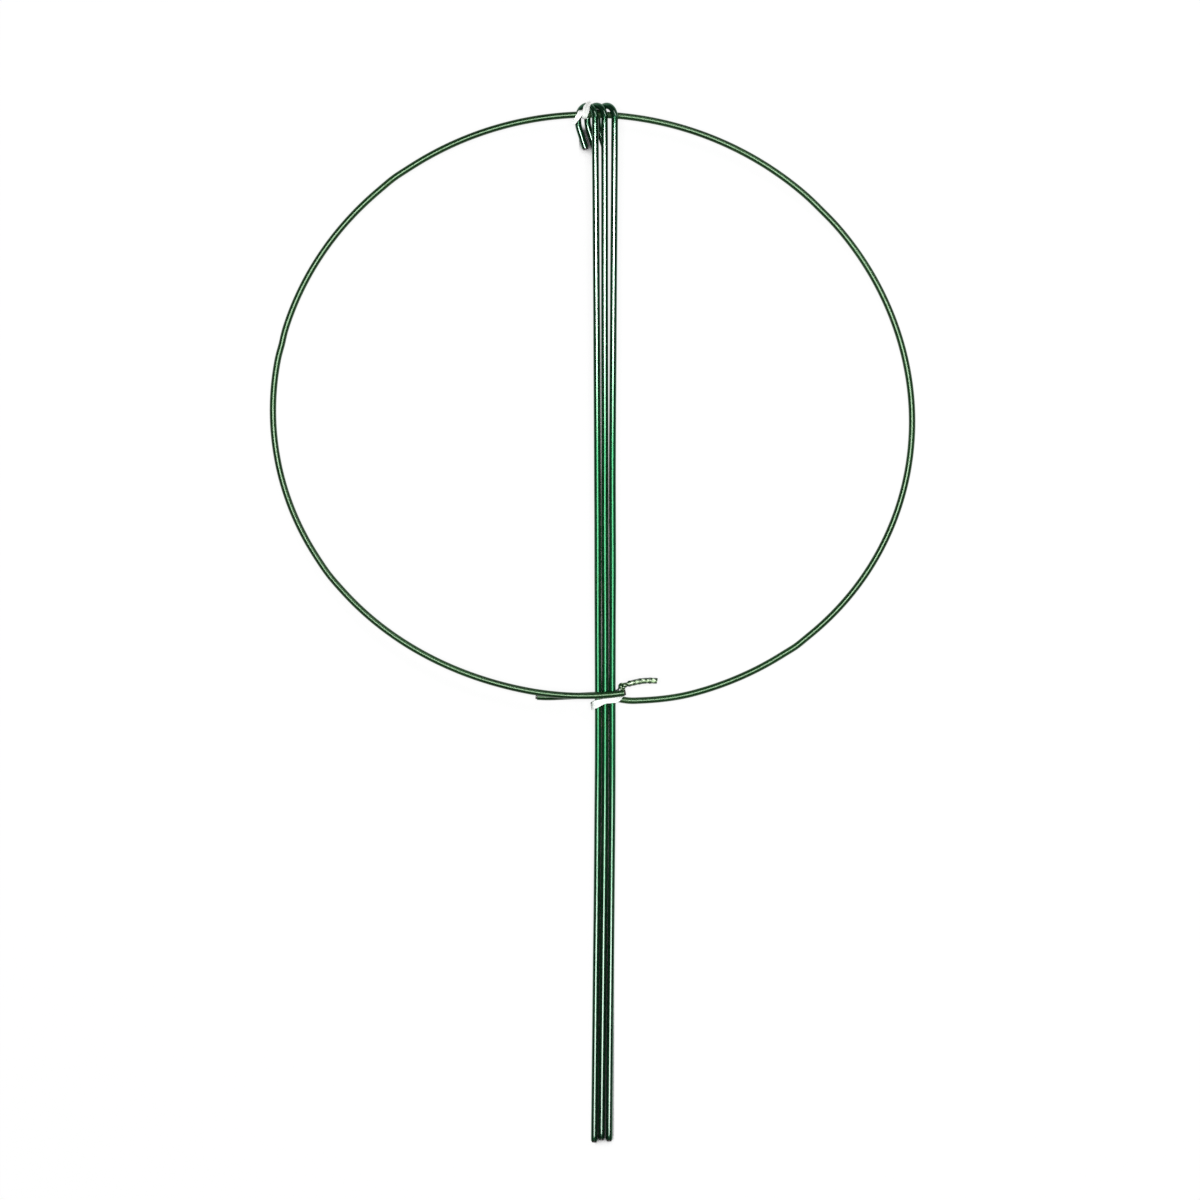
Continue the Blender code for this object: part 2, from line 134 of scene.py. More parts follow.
underTie = tie["gap"] + tie["rib"] / 2
backHeight = underTie + tie["rib"] / 2 + wire["restGap"] + wire["radius"]
crossingHeight = backHeight + 2 * wire["radius"] + wire["restGap"]
frontHeight = crossingHeight + 2 * wire["radius"] + wire["restGap"]
topTurn, backTurn, frontTurn = 2.5 * math.pi, 1.5 * math.pi, 3.5 * math.pi
hoopEnd = hoop["start"] + hoop["span"]


def backBend(angle):
    flat = hoop["backFlat"] * ease((hoop["backFlatFrom"] - angle) / hoop["backFlatSpan"])
    joggle = hoop["joggle"] * ease((hoop["joggleAt"] - angle) / hoop["joggleSpan"] + 0.5)
    past = max(0, (hoop["backOpenFrom"] - angle) / (hoop["backOpenFrom"] - hoop["start"]))
    return flat + joggle - hoop["backOpen"] * past ** 1.5


def hoopRadius(angle):
    return (
        hoop["radius"]
        + hoop["oval"] * math.cos(2 * (angle + hoop["ovalTurn"]))
        + hoop["egg"] * math.cos(3 * (angle + hoop["eggTurn"]))
        - hoop["spiral"] * ((angle - hoop["start"]) / hoop["span"] - 0.5)
        - hoop["curl"] * max(0, 1 - (hoopEnd - angle) / hoop["curlSpan"]) ** 2
        - backBend(angle)
    )


def hoopFlat(angle):
    return Vector((math.cos(angle), math.sin(angle), 0)) * hoopRadius(angle)


def hoopAngleOver(across, turn):
    angle = turn
    for _ in range(12):
        angle = turn - math.sin(turn) * math.asin(across / hoopRadius(angle))
    return angle


hoopTopY = hoopFlat(hoopAngleOver(stake["acrossAtHooks"], topTurn)).y
backY = hoopFlat(hoopAngleOver(stake["acrossAtTie"], backTurn)).y
frontY = hoopFlat(hoopAngleOver(stake["acrossAtTie"], frontTurn)).y
crossingY = (backY + frontY) / 2
hookY = hoopTopY + 2 * wire["radius"] + hook["seatGap"] - hook["radius"]
footY = hookY + hook["radius"] + wire["radius"] - stake["length"]
rise = (crossingHeight - wire["radius"]) / (crossingY - footY)
pitch = 2 * wire["radius"] + wire["restGap"]
shankHeight = wire["radius"] + rise * (hookY - footY)
hoopTopHeight = shankHeight - hook["radius"] * math.sin(hook["turn"])
hookFront = Vector((-math.sin(hook["turn"]), 0, math.cos(hook["turn"])))


def hoopHeight(angle):
    if angle < hoop["lowUntil"]:
        return between(backHeight, wire["radius"], ease((angle - backTurn) / (2 * math.pi - backTurn)))
    if angle < topTurn:
        share = ease((angle - hoop["lowUntil"]) / (topTurn - hoop["lowUntil"]))
        return between(wire["radius"], hoopTopHeight, share)
    if angle < 3 * math.pi:
        return between(hoopTopHeight, wire["radius"], ease((angle - topTurn) / (3 * math.pi - topTurn)))
    share = ease((angle - 3 * math.pi) / (hoop["frontFrom"] - 3 * math.pi))
    return between(wire["radius"], frontHeight, share)


def hoopPoint(angle):
    return hoopFlat(angle) + upward * hoopHeight(angle)


def hoopOver(across, turn):
    return hoopPoint(hoopAngleOver(across, turn))


def stakeAcross(index, along):
    side = index - (stake["count"] - 1) / 2
    if along > crossingY:
        share = (along - crossingY) / (hookY - crossingY)
        middle = between(stake["acrossAtTie"], stake["acrossAtHooks"], share)
        return middle + side * pitch + stake["hookSpread"][index] * share ** stake["spreadPower"][index]
    share = (crossingY - along) / (crossingY - footY)
    middle = between(stake["acrossAtTie"], stake["acrossAtFeet"], share * share * (2 - share))
    return middle + side * pitch + stake["footSpread"][index] * share


def stakePoint(index, along):
    return Vector((stakeAcross(index, along), along, wire["radius"] + rise * (along - footY)))


def tangentsOf(points):
    ends = [points[0]] + list(points) + [points[-1]]
    return [(ends[i + 2] - ends[i]).normalized() for i in range(len(points))]


# routes, each a list of places

def hoopRoute():
    route = []
    for i in range(hoop["steps"] + 1):
        angle = hoop["start"] + hoop["span"] * i / hoop["steps"]
        place = hoopPoint(angle)
        outward = Vector((math.cos(angle), math.sin(angle), 0))
        for turn, size, width in hoop["kinks"]:
            place += outward * size * math.exp(-((math.degrees(angle) - turn) / width) ** 2)
        route.append(place)
    return route


def stakeRoute(index):
    foot = footY + stake["stagger"][index]
    route = []
    for i in range(stake["shankSteps"]):
        share = i / stake["shankSteps"]
        along = between(foot, hookY, share)
        place = stakePoint(index, along)
        settle = math.sin(math.pi * share)      # no sway at the foot and at the hook
        waves = Vector((share * stake["swayWaves"], index * 7.3, 0))
        place.x += stake["sway"] * settle * noise.noise(waves)
        bowShare = (along - footY - stake["bowFrom"]) / (stake["bowTo"] - stake["bowFrom"])
        place.x += stake["bow"][index] * math.sin(math.pi * min(max(bowShare, 0), 1)) ** 2
        route.append(place)
    shank = stakePoint(index, hookY)
    for i in range(hook["steps"] + 1):
        angle = math.pi * i / hook["steps"]
        swing = hook["radius"] * (1 - math.cos(angle))
        ahead = hook["radius"] * math.sin(angle)
        route.append(shank + Vector((
            -swing * math.cos(hook["turn"]), ahead, -swing * math.sin(hook["turn"]),
        )))
    step = hook["leg"] / hook["legSteps"]
    for i in range(hook["legSteps"]):
        lean = hook["lean"] * min(1, (i + 0.5) * step / hook["bend"])
        route.append(route[-1] + Vector((math.sin(lean), -math.cos(lean), 0)) * step)
    return route


def curvePoint(start, end, leaving, arriving, t):
    return (
        start * (2 * t ** 3 - 3 * t ** 2 + 1) + leaving * (t ** 3 - 2 * t ** 2 + t)
        + end * (3 * t ** 2 - 2 * t ** 3) + arriving * (t ** 3 - t ** 2)
    )


def spline(controls, step):
    # a smooth run through its controls, each a place and the way the outer face looks there
    gaps = [0] + [(b[0] - a[0]).length for a, b in zip(controls, controls[1:])] + [0]
    padded = [controls[0]] + list(controls) + [controls[-1]]
    run = []
    for i in range(1, len(gaps) - 1):
        before, start, end, after = padded[i - 1:i + 3]
        gap = gaps[i]
        pieces = max(1, round(gap / step))
        for j in range(pieces):
            run.append(tuple(
                curvePoint(
                    start[k], end[k],
                    (end[k] - before[k]) * gap / (gap + gaps[i - 1]),
                    (after[k] - start[k]) * gap / (gap + gaps[i + 1]),
                    j / pieces,
                )
                for k in (0, 1)
            ))
    run.append(controls[-1])
    return run


def tailAxis():
    start = hoopPoint(hoopEnd) + Vector((-0.0012, wire["radius"] + 0.0022, -0.0004))
    shape = ((0, 0, 0), (0.0032, 0.0011, 0.0002), (0.0067, 0.0019, 0.0001), (0.0093, 0.0024, -0.0004),
             (0.0132, 0.0028, -0.0014), (0.0189, 0.0027, -0.0026))
    return [start + Vector(offset) for offset in shape]


def twistedPair(axis, step):
    # two strands wound round one middle line, half a turn apart
    middle = [place for place, _ in spline([(place, upward.copy()) for place in axis], step)]
    strands = ([], [])
    travelled = 0
    for i, (place, tangent) in enumerate(zip(middle, tangentsOf(middle))):
        if i:
            travelled += (place - middle[i - 1]).length
        up = (upward - tangent * upward.dot(tangent)).normalized()
        side = tangent.cross(up)
        angle = math.pi * travelled / tie["halfTurn"]
        out = up * math.cos(angle) + side * math.sin(angle)
        strands[0].append((place + out * tie["strandOffset"], -out))
        strands[1].append((place - out * tie["strandOffset"], out.copy()))
    return strands


def lowerTieRun():
    # in along one strand of the tail, once round the stakes and the hoop's ends, and out along the other; the
    # small offsets were given one by one to clear the wires
    upper, lower = twistedPair(tailAxis(), tie["step"])
    half = tie["width"] / 2
    thick = tie["rib"] / 2 + tie["gap"]
    beside = wire["radius"] + half + tie["gap"]
    left = stakeAcross(0, crossingY) - wire["radius"] - tie["slack"] - thick
    right = stakeAcross(2, crossingY) + wire["radius"] + thick
    middle = (left + right) / 2
    over = crossingHeight + wire["radius"] + thick
    halfWay = (over + underTie) / 2
    highY = hoopOver(right, backTurn).y + beside + 0.0002
    lowY = hoopOver(middle, backTurn).y - beside - tie["slack"]
    bandY = hoopOver(right, frontTurn).y - beside + tie["gap"]
    aboveY = hoopOver(right, frontTurn).y + wire["radius"] + half
    tip = hoopPoint(hoopEnd)
    belowTip = tip.z - wire["radius"] - thick
    out = Vector((1, 0, 0))
    intoTail = [
        (Vector((right + 0.0005, highY + 0.0006, halfWay + 0.0015)), out + upward * 0.4),
        (Vector((right + 0.0009, aboveY - 0.0012, halfWay + 0.0024)), out + upward * 0.2),
        (Vector((right + 0.0012, aboveY + 0.0004, over - 0.0001)), out - upward * 0.3),
        (Vector((right + 0.0026, aboveY + 0.0016, over + 0.0010)), out * 0.6 - upward * 0.8),
    ]
    loop = [
        (Vector((right, highY, halfWay - 0.0016)), out),
        (Vector((right - 0.0001, highY - 0.0001, underTie + 0.0014)), out - upward * 0.5),
        (Vector((right - 0.0016, highY - 0.0007, underTie + 0.0001)), -upward),
        (Vector((middle, (highY + lowY) / 2, underTie + 0.0001)), -upward),
        (Vector((left + 0.0016, lowY + 0.0007, underTie + 0.0001)), -upward),
        (Vector((left + 0.0001, lowY + 0.0001, underTie + 0.0014)), -out - upward * 0.5),
        (Vector((left + 0.0003, lowY - 0.0014, halfWay - 0.0004)), -out),
        (Vector((left + 0.0006, lowY - 0.0010, over - 0.0012)), -out + upward * 0.5),
        (Vector((left + 0.0023, lowY + 0.0002, over + 0.0001)), upward.copy()),
        (Vector((middle, (lowY + bandY) / 2 + 0.0005, over)), upward.copy()),
        (Vector((right + 0.0002, bandY, over - 0.0001)), upward.copy()),
    ]
    roundTip = [
        (Vector((tip.x - 0.0030, tip.y - 0.0019, belowTip + 0.0001)), upward.copy()),
        (Vector((tip.x - 0.0018, tip.y + 0.0004, belowTip - 0.0002)), upward.copy()),
        (Vector((tip.x - 0.0018, tip.y + 0.0029, belowTip + 0.0006)), upward.copy()),
    ]
    lead = [upper[0]] + list(reversed(intoTail)) + loop + roundTip + [lower[0]]
    return list(reversed(upper))[:-1] + spline(lead, tie["step"]) + lower[1:]


def topTieRun():
    # once round the hoop inside the first hook, then across itself to the upper right
    thick = tie["rib"] / 2 + tie["gap"]
    middle = stakePoint(0, hookY) - Vector((hook["radius"] * math.cos(hook["turn"]), 0, 0))
    middle.z = hoopTopHeight
    clear = hookFront * (wire["radius"] + thick + 0.0001)

    def around(across, degrees):
        angle = math.radians(degrees)
        facing = Vector((0, math.sin(angle), math.cos(angle)))
        return (hoopOver(middle.x + across, topTurn) + facing * (wire["radius"] + thick), facing)

    def beforeHook(across, along, lift):
        onHook = Vector((middle.x + across, along, middle.z + across * math.tan(hook["turn"])))
        return (onHook + clear + hookFront * 0.0003 * lift, (hookFront + upward * lift).normalized())

    start, facing = around(-0.0041, -5)
    drop = Vector((-0.546, -0.837, -0.02)).normalized() * tie["topLeftEnd"]
    controls = [
        (start + drop, upward + Vector((-0.1, 0, 0))),
        (start + drop * 0.55, upward.copy()),
        (start, facing),
    ]
    turns = ((-0.0034, 40), (-0.0024, 75), (-0.0015, 110), (-0.0011, 150), (-0.0011, 190),
             (-0.0011, 235), (-0.0011, 280), (-0.0010, 325), (-0.0007, 362))
    controls += [around(*turn) for turn in turns]
    controls.append(beforeHook(0.0006 - clear.x, hoopTopY + 0.0045, 0.6))
    controls.append(beforeHook(0.0024 - clear.x, hoopTopY + tie["topRightEnd"], 1.0))
    return spline(controls, tie["step"])


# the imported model's origin is under its middle: its first foot mount says how far it was moved
footMount = next(mount for mount in frame["record"]["mounts"] if mount["name"] == "stake_1_foot")
shift = Vector(footMount["pos_m"]) - stakeRoute(0)[0]

# meshes

sharpAngle = math.radians(38)


def circle(radius, sides):
    return [
        (radius * math.cos(2 * math.pi * i / sides), radius * math.sin(2 * math.pi * i / sides))
        for i in range(sides)
    ]


class Run:
    # places along a route, with their tangents, facings and distances from its start
    def __init__(self, places, facings, tail=0.0):
        self.places = [place + shift for place in places]
        self.tangents = tangentsOf(self.places)
        self.facings = facings
        self.travelled = [0.0]
        for a, b in zip(self.places, self.places[1:]):
            self.travelled.append(self.travelled[-1] + (b - a).length)
        # 1 in a twisted tail at both ends of the route, 0 between them; the strands stand apart there
        total = self.travelled[-1]
        self.twists = [ease((tail - min(far, total - far)) / tie["tailEase"]) for far in self.travelled]
        for i, twist in enumerate(self.twists):
            self.places[i] = self.places[i] - facings[i] * tie["tailGrow"] * twist
        # where a tie's band folds over itself: past its upper left corner, or before its end
        corner = min(range(len(places)), key=lambda i: places[i].x - places[i].z)
        self.fold = self.travelled[corner] + tie["foldPast"] if tail else total - tie["foldBefore"]

    def ring(self, index, outline, scale=1.0, ahead=0.0):
        tangent = self.tangents[index]
        up = (self.facings[index] - tangent * self.facings[index].dot(tangent)).normalized()
        across = up.cross(tangent)
        place = self.places[index] + tangent * ahead
        return [place + (across * a + up * b) * scale for a, b in outline]

    def bendAt(self, index):
        # how tightly the route turns here, 0 straight to 1 at a hook
        if index in (0, len(self.places) - 1):
            return 0.0
        turned = self.tangents[index - 1].angle(self.tangents[index + 1], 0)
        length = self.travelled[index + 1] - self.travelled[index - 1]
        return min(1, turned / length * hook["radius"])


def skinMesh(name, loops, closed, distances, bends, slots=None):
    # loops are rings of places in order; closed joins the last to the first, as a tube with a bore
    count = len(loops[0])
    verts = [tuple(place) for loop in loops for place in loop]
    faces, faceSlots, corners = [], [], []
    rows = len(loops) if closed else len(loops) - 1
    for i in range(rows):
        k = (i + 1) % len(loops)
        for j in range(count):
            m = (j + 1) % count
            faces.append((i * count + j, i * count + m, k * count + m, k * count + j))
            faceSlots.append(slots(i, j) if slots else 0)
            corners += [(distances[i], j / count), (distances[i], (j + 1) / count),
                        (distances[k], (j + 1) / count), (distances[k], j / count)]
    if not closed:      # a fan over each end
        for i, turn in ((0, -1), (len(loops) - 1, 1)):
            middle = sum(loops[i], Vector()) / count
            verts.append(tuple(middle))
            for j in range(count):
                m = (j + 1) % count
                pair = (i * count + j, i * count + m)
                faces.append((*pair[::turn], len(verts) - 1))
                faceSlots.append(0)
                corners += [(distances[i], j / count)] * 3
    mesh = bpy.data.meshes.new(name)
    mesh.from_pydata(verts, [], faces)
    layer = mesh.uv_layers.new(name="run")
    layer.data.foreach_set("uv", [value for corner in corners for value in corner])
    bend = mesh.attributes.new("bend", "FLOAT", "POINT")
    values = [bends[i] for i in range(len(loops)) for _ in range(count)]
    values += [0.0] * (len(verts) - len(values))
    bend.data.foreach_set("value", values)
    mesh.polygons.foreach_set("material_index", faceSlots)
    bm = bmesh.new()
    bm.from_mesh(mesh)
    bmesh.ops.recalc_face_normals(bm, faces=bm.faces)
    bm.to_mesh(mesh)
    bm.free()
    mesh.shade_smooth()
    mesh.set_sharp_from_angle(angle=sharpAngle)
    return mesh


def addPiece(name, mesh, materials, body, node):
    piece = bpy.data.objects.new(name, mesh)
    bpy.context.scene.collection.objects.link(piece)
    for material in materials:
        mesh.materials.append(material)
    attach(piece, body)
    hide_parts(node)


def coatingMesh(name, run, seed, snugFrom=0.0, snugTo=0.0):
    # from the bore's mouth over a rounded lip, along the outside and back through the bore
    outline = circle(wire["radius"], wire["sides"])
    bore = circle(wire["boreRadius"], wire["sides"])
    last = len(run.places) - 1
    wall = wire["radius"] - wire["boreRadius"]
    loops, distances, bends = [], [], []

    def add(index, shape, scale=1.0, ahead=0.0, rag=0.0):
        ring = run.ring(index, shape, scale, ahead)
        for k, place in enumerate(ring):      # the knife leaves the plastic's end a little ragged
            wobble = noise.noise(Vector((k * 0.61, seed, index)))
            ring[k] = place + run.tangents[index] * rag * wobble
        loops.append(ring)
        distances.append(run.travelled[index] + ahead)
        bends.append(run.bendAt(index))

    def end(index, inward):
        steps = ((0.50, 0.0, 1.0), (0.80, 0.12, 1.0), (0.95, 0.45, 0.6), (1.0, 1.0, 0.0))
        rings = []
        for out, back, rag in steps:
            radius = wire["boreRadius"] + wall * out
            ahead = inward * (wire["shrinkBack"] + wire["lip"] * back)
            rings.append((index, outline, radius / wire["radius"], ahead, wire["rag"] * rag))
        return rings

    for ring in end(0, 1):
        add(*ring)
    margin = wire["shrinkBack"] + 1.4 * wire["lip"]
    for i in range(1, last):
        far = run.travelled[i]
        if margin < far < run.travelled[-1] - margin:
            swell = 1 + wire["unevenness"] * noise.noise(Vector((far * wire["unevenWaves"], seed * 3.1, 0)))
            swell = min(swell, 1.0 + wire["unevenness"] * wire["mostSwell"])
            snug = ease((far - snugFrom) / wire["snugEase"]) * ease((snugTo - far) / wire["snugEase"])
            add(i, outline, swell + snug * wire["snug"] / wire["radius"])
    for ring in reversed(end(last, -1)):
        add(*ring)
    bores = sorted({last, *range(last, 0, -wire["innerSkip"]), 0}, reverse=True)
    for i in bores:
        inward = {0: wire["shrinkBack"], last: -wire["shrinkBack"]}.get(i, 0.0)
        add(i, bore, 1.0, inward)
    return skinMesh(name, loops, True, distances, bends)


def coreMesh(name, run, seed):
    # the cutters leave each end a little skewed, with a soft rim
    sides, rim, skip = wire["coreSides"], wire["coreRim"], wire["innerSkip"]
    outline = circle(wire["coreRadius"], sides)
    last = len(run.places) - 1
    loops, distances = [], []
    stations = [(0, 0.55, 0.0), (0, 0.93, rim / 6), (0, 1.0, rim)]
    stations += [(i, 1.0, 0.0) for i in range(skip, last - skip + 1, skip)]
    stations += [(last, 1.0, -rim), (last, 0.93, -rim / 6), (last, 0.55, 0.0)]
    for index, scale, ahead in stations:
        ring = run.ring(index, outline, scale, ahead)
        if index in (0, last):
            inward = run.tangents[index] * (1 if index == 0 else -1)
            skew = [0.5 + 0.5 * math.cos(2 * math.pi * k / sides + seed) for k in range(sides)]
            ring = [place + inward * wire["coreSkew"] * scale * skew[k] for k, place in enumerate(ring)]
        loops.append(ring)
        distances.append(run.travelled[index] + ahead)
    return skinMesh(name, loops, False, distances, [0.0] * len(loops))


def ribbonOutline():
    # a flat band with softly rounded edges and a midrib on both faces, its outer face first
    half, edge = tie["width"] / 2, tie["edge"] / 2
    rib, ribHalf = tie["rib"] / 2, tie["ribWidth"] / 2
    face = [(half, edge * 0.35), (half * 0.985, edge * 0.8), (half * 0.94, edge), (half * 0.62, edge * 0.8),
            (ribHalf * 1.15, edge * 0.9), (ribHalf * 0.8, between(edge, rib, 0.45)),
            (ribHalf * 0.5, between(edge, rib, 0.82)), (ribHalf * 0.2, rib)]
    outer = face + [(-a, b) for a, b in reversed(face)]
    return outer + [(-a, -b) for a, b in outer]


def ribbonMesh(name, run, seed, pinch):
    outline = ribbonOutline()
    count = len(outline)
    bore = []
    for i in range(count):
        angle = math.atan2(outline[i][1], outline[i][0])
        radius = tie["wireRadius"] + tie["wireClearance"]
        bore.append((radius * math.cos(angle), radius * math.sin(angle)))
    last = len(run.places) - 1
    loops, distances = [], []
    for i in range(last + 1):
        fold = math.exp(-((run.travelled[i] - run.fold) / tie["foldSpan"]) ** 2)
        fromEnd = min(run.travelled[i], run.travelled[-1] - run.travelled[i])
        wide = 1 + tie["foldSwell"] * fold - pinch * ease(1 - fromEnd / tie["pinchLength"])
        ring = run.ring(i, [(a * wide, b) for a, b in outline], 1 + tie["tailSwell"] * run.twists[i])
        up = (run.facings[i] - run.tangents[i] * run.facings[i].dot(run.tangents[i])).normalized()
        cup = tie["tailCup"] * run.twists[i]
        for k, place in enumerate(ring):      # fingers leave the flat parts a little rumpled
            side = 1 if outline[k][0] > 0 else -1
            share = abs(outline[k][0]) / (tie["width"] / 2)
            waves = Vector((run.travelled[i] * tie["rumpleWaves"], side * 3.7 + seed, 0))
            lift = tie["rumple"] * noise.noise(waves)
            ring[k] = place + up * (lift * share + cup * (1 - math.sqrt(1 - min(share, 1) ** 2)))
        loops.append(ring)
        distances.append(run.travelled[i])
    for i in range(last, -1, -1):
        loops.append(run.ring(i, bore))
        distances.append(run.travelled[i])

    def faceSlot(i, j):      # 1 on the inner face
        return 0 if i >= last or j < count // 2 - 1 or j == count - 1 else 1

    return skinMesh(name, loops, True, distances, [0.0] * len(loops), faceSlot)


def tieWireMesh(name, run):
    outline = circle(tie["wireRadius"], tie["wireSides"])
    last = len(run.places) - 1
    loops = [run.ring(0, outline, 0.6), run.ring(0, outline, 1.0, tie["wireRim"])]
    distances = [0.0, 0.0]
    for i in range(1, last):
        loops.append(run.ring(i, outline))
        distances.append(run.travelled[i])
    loops += [run.ring(last, outline, 1.0, -tie["wireRim"]), run.ring(last, outline, 0.6)]
    distances += [run.travelled[last]] * 2
    return skinMesh(name, loops, False, distances, [0.0] * len(loops))


# materials

class Link:
    # a socket of one shader; sums and products on it add Math nodes
    def __init__(self, shader, socket):
        self.shader = shader
        self.socket = socket

    def maths(self, operation, first, second):
        return self.shader.add("ShaderNodeMath", {"operation": operation}, {0: first, 1: second})

    def __add__(self, other):
        return self.maths("ADD", self, other)

    def __sub__(self, other):
        return self.maths("SUBTRACT", self, other)

    def __rsub__(self, other):
        return self.maths("SUBTRACT", other, self)

    def __mul__(self, other):
        return self.maths("MULTIPLY", self, other)

    __radd__ = __add__
    __rmul__ = __mul__


class Shader:
    def __init__(self, name, finish):
        self.material = bpy.data.materials.new(name)
        self.material.use_nodes = True
        self.tree = self.material.node_tree
        self.surface = self.tree.nodes["Principled BSDF"]
        for socket, value in finish.items():
            self.surface.inputs[socket].default_value = value

    def feed(self, socket, value):
        if isinstance(value, Link):
            self.tree.links.new(value.socket, socket)
        else:
            socket.default_value = value

    def add(self, kind, settings=None, sockets=None, output=0):
        node = self.tree.nodes.new(kind)
        for key, value in (settings or {}).items():
            if key == "stops":
                for stop in range(2, len(value)):
                    node.color_ramp.elements.new(stop / len(value))
                for element, (position, level) in zip(node.color_ramp.elements, value):
                    element.position = position
                    element.color = (level, level, level, 1)
            else:
                setattr(node, key, value)
        for key, value in (sockets or {}).items():
            self.feed(node.inputs[key], value)
        return Link(self, node.outputs[output])

    def place(self):
        return self.add("ShaderNodeTexCoord", output=3)      # Object

    def run(self):
        return self.add("ShaderNodeUVMap", {"uv_map": "run"})

    def stretch(self, vector, amounts):
        return self.add("ShaderNodeVectorMath", {"operation": "MULTIPLY"}, {0: vector, 1: amounts})

    def noise(self, vector, scale, detail, roughness=0.5):
        return self.add("ShaderNodeTexNoise", None,
                        {"Vector": vector, "Scale": scale, "Detail": detail, "Roughness": roughness})

    def ramp(self, value, *stops):
        return self.add("ShaderNodeValToRGB", {"stops": stops}, {0: value})

    def mix(self, low, high, mask):
        return self.add("ShaderNodeMix", {"data_type": "RGBA"}, {0: mask, 6: low, 7: high}, 2)

    def bump(self, height, distance):
        return self.add("ShaderNodeBump", None, {"Height": height, "Distance": distance})

    def paint(self, **channels):
        for name, value in channels.items():
            self.feed(self.surface.inputs[name.replace("_", " ")], value)
        return self.material


def rgb(red, green, blue):
    return (red, green, blue, 1)


coating = {
    # near black, for the painted shade at a stake's ends
    "shadeNearBlack": rgb(0.0008, 0.004, 0.0018),
    "dark": rgb(0.002, 0.014, 0.005),
    "body": rgb(0.004, 0.034, 0.012),
    "olive": rgb(0.024, 0.056, 0.010),
    "scuff": rgb(0.060, 0.140, 0.085),
    "stretched": rgb(0.008, 0.050, 0.018),      # over a tight bend
    "toneScale": 26, "blotchScale": 58,
    # waves in a metre along the wire and in a turn round it
    "dieLines": (9, 46, 1), "scuffs": (150, 22, 1), "pimples": (900, 14, 1),
    "relief": 0.00002,
}

finishes = {
    "hoop": {
        "roughness": 0.26, "gloss": 0.10, "sheen": rgb(0.40, 0.74, 0.38),
        "rubbedAndHighlit": 0.4,         # how much rougher where it is dull
        "shade": 0,            # painted shade: how near to black its colour is where it isn't dull
    },
    "stake": {
        "roughness": 0.16, "gloss": 1.0, "sheen": rgb(0.15, 1.0, 0.42),
        "rubbedAndHighlit": 0, "shade": 0.7,
    },
}


def coatingMaterial(name, finish, tint, dullFrom):
    def tinted(colour):
        return tuple(a * b for a, b in zip(colour, (*tint, 1.0)))

    s = Shader(name, {"IOR": 1.8, "Specular Tint": finish["sheen"], "Coat Roughness": 0.10, "Coat IOR": 2.05})
    place, run = s.place(), s.run()
    tone = s.ramp(s.noise(place, coating["toneScale"], 3), (0.34, 0), (0.68, 1))
    blotch = s.ramp(s.noise(place, coating["blotchScale"], 4, 0.6), (0.60, 0), (0.72, 1))
    dieLines = s.noise(s.stretch(run, coating["dieLines"]), 1.0, 3)
    scuff = s.ramp(s.noise(s.stretch(run, coating["scuffs"]), 1.0, 2, 0.7), (0.69, 0), (0.74, 1))
    pimples = s.ramp(s.noise(s.stretch(run, coating["pimples"]), 1.0, 1), (0.62, 0), (0.76, 1))
    bend = s.add("ShaderNodeAttribute", {"attribute_name": "bend"}, output=2)
    colour = s.mix(tinted(coating["dark"]), tinted(coating["body"]), tone)
    colour = s.mix(colour, tinted(coating["stretched"]), bend * 0.5)
    colour = s.mix(colour, coating["olive"], blotch * 0.35)
    colour = s.mix(colour, coating["scuff"], scuff * 0.30)
    # handled duller along the middle of a stake, and rubbed dull where the hoop hangs in the hooks
    along = s.add("ShaderNodeSeparateXYZ", None, {0: run})
    dull = s.ramp(along, *dullFrom)
    if finish["shade"]:       # painted shade: away from its dull middle stretch a stake's colour is mixed towards near black
        colour = s.mix(colour, coating["shadeNearBlack"], (1 - dull) * finish["shade"])
    rough = tone * 0.05 + blotch * 0.10 + scuff * 0.22 + bend * 0.06 + finish["roughness"]
    rough = rough + dull * finish["rubbedAndHighlit"]
    relief = dieLines * 0.4 + pimples * 0.3 + scuff * 0.2
    gloss = finish["gloss"]
    shine = gloss - scuff * gloss - blotch * gloss * 0.3
    shine = shine * (1 - dull * 0.95)
    # the gloss fades towards the wire's edges, where the coating only shows its own dark green
    facing = s.add("ShaderNodeLayerWeight", None, {"Blend": 0.5}, 1)
    shine = shine * s.ramp(facing, (0.06, 1), (0.30, 0))
    return s.paint(Base_Color=colour, Roughness=rough, Coat_Weight=shine,
                   Normal=s.bump(relief, coating["relief"]))


steel = {
    "drawn": rgb(0.22, 0.225, 0.225),
    "bright": rgb(0.34, 0.34, 0.33),
    "tarnish": rgb(0.030, 0.028, 0.026),
    "rust": rgb(0.16, 0.07, 0.03),
    "grain": (2600, 500, 2600), "tarnishScale": 1400, "rustScale": 900,
    "relief": 0.00002,
}


def steelMaterial(name):
    s = Shader(name, {"Metallic": 1.0})
    place = s.place()
    grain = s.noise(s.stretch(place, steel["grain"]), 1.0, 3)
    tarnish = s.ramp(s.noise(place, steel["tarnishScale"], 3, 0.6), (0.30, 0), (0.46, 1))
    rust = s.ramp(s.noise(place, steel["rustScale"], 4, 0.6), (0.58, 0), (0.74, 1))
    colour = s.mix(steel["drawn"], steel["bright"], grain)
    colour = s.mix(colour, steel["tarnish"], tarnish * 0.9)
    colour = s.mix(colour, steel["rust"], rust * 0.5)
    return s.paint(Base_Color=colour, Roughness=grain * 0.2 + tarnish * 0.2 + rust * 0.2 + 0.22,
                   Normal=s.bump(grain, steel["relief"]))


